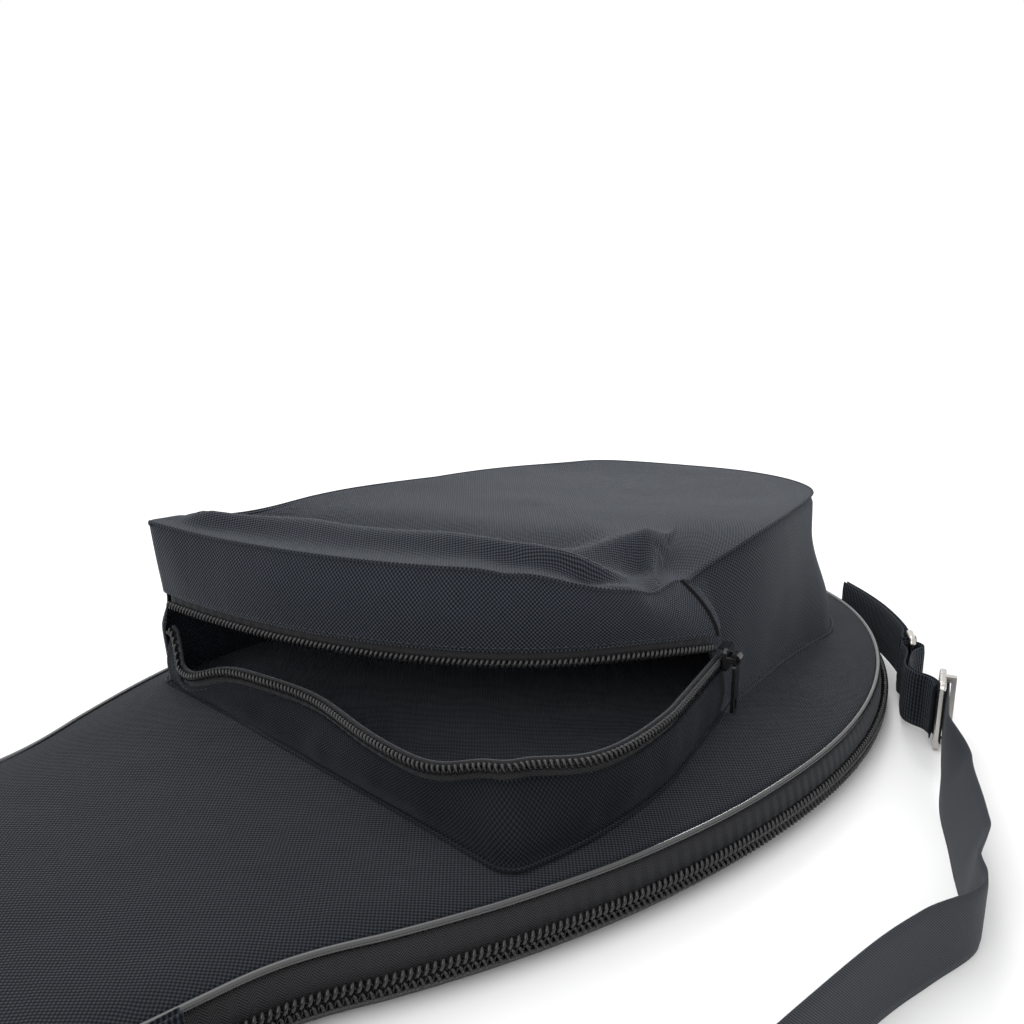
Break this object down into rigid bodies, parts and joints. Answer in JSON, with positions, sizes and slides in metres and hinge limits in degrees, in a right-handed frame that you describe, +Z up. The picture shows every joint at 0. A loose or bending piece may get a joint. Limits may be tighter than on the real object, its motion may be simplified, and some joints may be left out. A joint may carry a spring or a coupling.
{
  "type": "paddle case",
  "caption": "Zipped paddle case with padded panels, an open boxed ball pocket on the head and a webbing shoulder strap on metal rings.",
  "frame": {"origin": "bottom centre of the case and its rings, on the surface it lies on, leaving out the loose strap", "axes": "+X from the handle end to the tip of the head, +Y to the side away from the strap, +Z up through the front panel and the ball pocket"},
  "size_m": [0.549, 0.3624, 0.095],
  "materials": {
    "oxford": "coated plain weave",
    "lining": "smooth lining cloth",
    "foam": "closed-cell foam sheet",
    "piping": "satin covered cord",
    "zip_tape": "twill tape",
    "zip_coil": "gloss nylon coil",
    "webbing": "ribbed webbing",
    "black_metal": "black lacquer",
    "nickel": "polished nickel"
  },
  "bodies": {
    "case_back": {"back_panel": "oxford", "back_foam": "foam", "back_lining": "lining", "back_piping": "piping", "back_zip_tape": "zip_tape", "back_zip_coil": "zip_coil", "butt_gusset": "oxford", "anchor_tab": "webbing", "strap_loop": "webbing", "strap": "webbing", "strap_end_loop": "webbing", "lower_tab": "webbing"},
    "case_front": {"front_panel": "oxford", "front_foam": "foam", "front_lining": "lining", "front_piping": "piping", "front_zip_tape": "zip_tape", "front_zip_coil": "zip_coil", "pocket_lower_wall": "oxford", "pocket_lower_tape": "zip_tape", "pocket_lower_coil": "zip_coil", "pocket_rear_wall": "oxford", "pocket_top": "oxford"},
    "pocket_flap": {"flap_top": "oxford", "flap_wall": "oxford", "flap_zip_tape": "zip_tape", "flap_zip_coil": "zip_coil"},
    "main_slider": {"main_slider": "black_metal"},
    "main_pull": {"main_pull": "black_metal"},
    "pocket_slider": {"pocket_slider": "black_metal"},
    "pocket_pull": {"pocket_pull": "black_metal"},
    "anchor_ring": {"anchor_ring": "nickel"},
    "lower_ring": {"lower_ring": "nickel"},
    "strap_adjuster": {"strap_adjuster": "nickel"}
  },
  "joints": [
    {"name": "front_opens", "type": "hinge", "parent": "case_back", "child": "case_front", "pos_m": [-0.254, 0, 0.01965], "axis": [0, -1, 0], "range_deg": [0, 110]},
    {"name": "flap_lifts", "type": "hinge", "parent": "case_front", "child": "pocket_flap", "pos_m": [-0.0874, 0.1012, 0.095], "axis": [-0.5809, 0.814, 0], "range_deg": [0, 60]},
    {"name": "main_slider_runs", "type": "slide", "parent": "case_back", "child": "main_slider", "axis": [0.9926, 0.1213, 0], "range_m": [0, 0.04]},
    {"name": "main_pull_swings", "type": "hinge", "parent": "main_slider", "child": "main_pull", "pos_m": [-0.22054, 0.08919, 0.0085], "axis": [0.9926, 0.1213, 0], "range_deg": [0, 120]},
    {"name": "pocket_slider_runs", "type": "slide", "parent": "case_front", "child": "pocket_slider", "axis": [-0.9659, -0.2587, 0], "range_m": [0, 0.05]},
    {"name": "pocket_pull_swings", "type": "hinge", "parent": "pocket_slider", "child": "pocket_pull", "pos_m": [0.05153, -0.10147, 0.0508], "axis": [-0.9659, -0.2587, 0], "range_deg": [0, 120]},
    {"name": "anchor_ring_swings", "type": "hinge", "parent": "case_back", "child": "anchor_ring", "pos_m": [0.1816, -0.121, 0.016], "axis": [0, 0, 1], "range_deg": [-10, 10]},
    {"name": "lower_ring_swings", "type": "hinge", "parent": "case_back", "child": "lower_ring", "pos_m": [-0.2204, -0.091, 0.016], "axis": [0, 0, 1], "range_deg": [-10, 10]},
    {"name": "adjuster_slides", "type": "slide", "parent": "case_back", "child": "strap_adjuster", "axis": [-0.9398, -0.3417, 0], "range_m": [0, 0.02]}
  ]
}
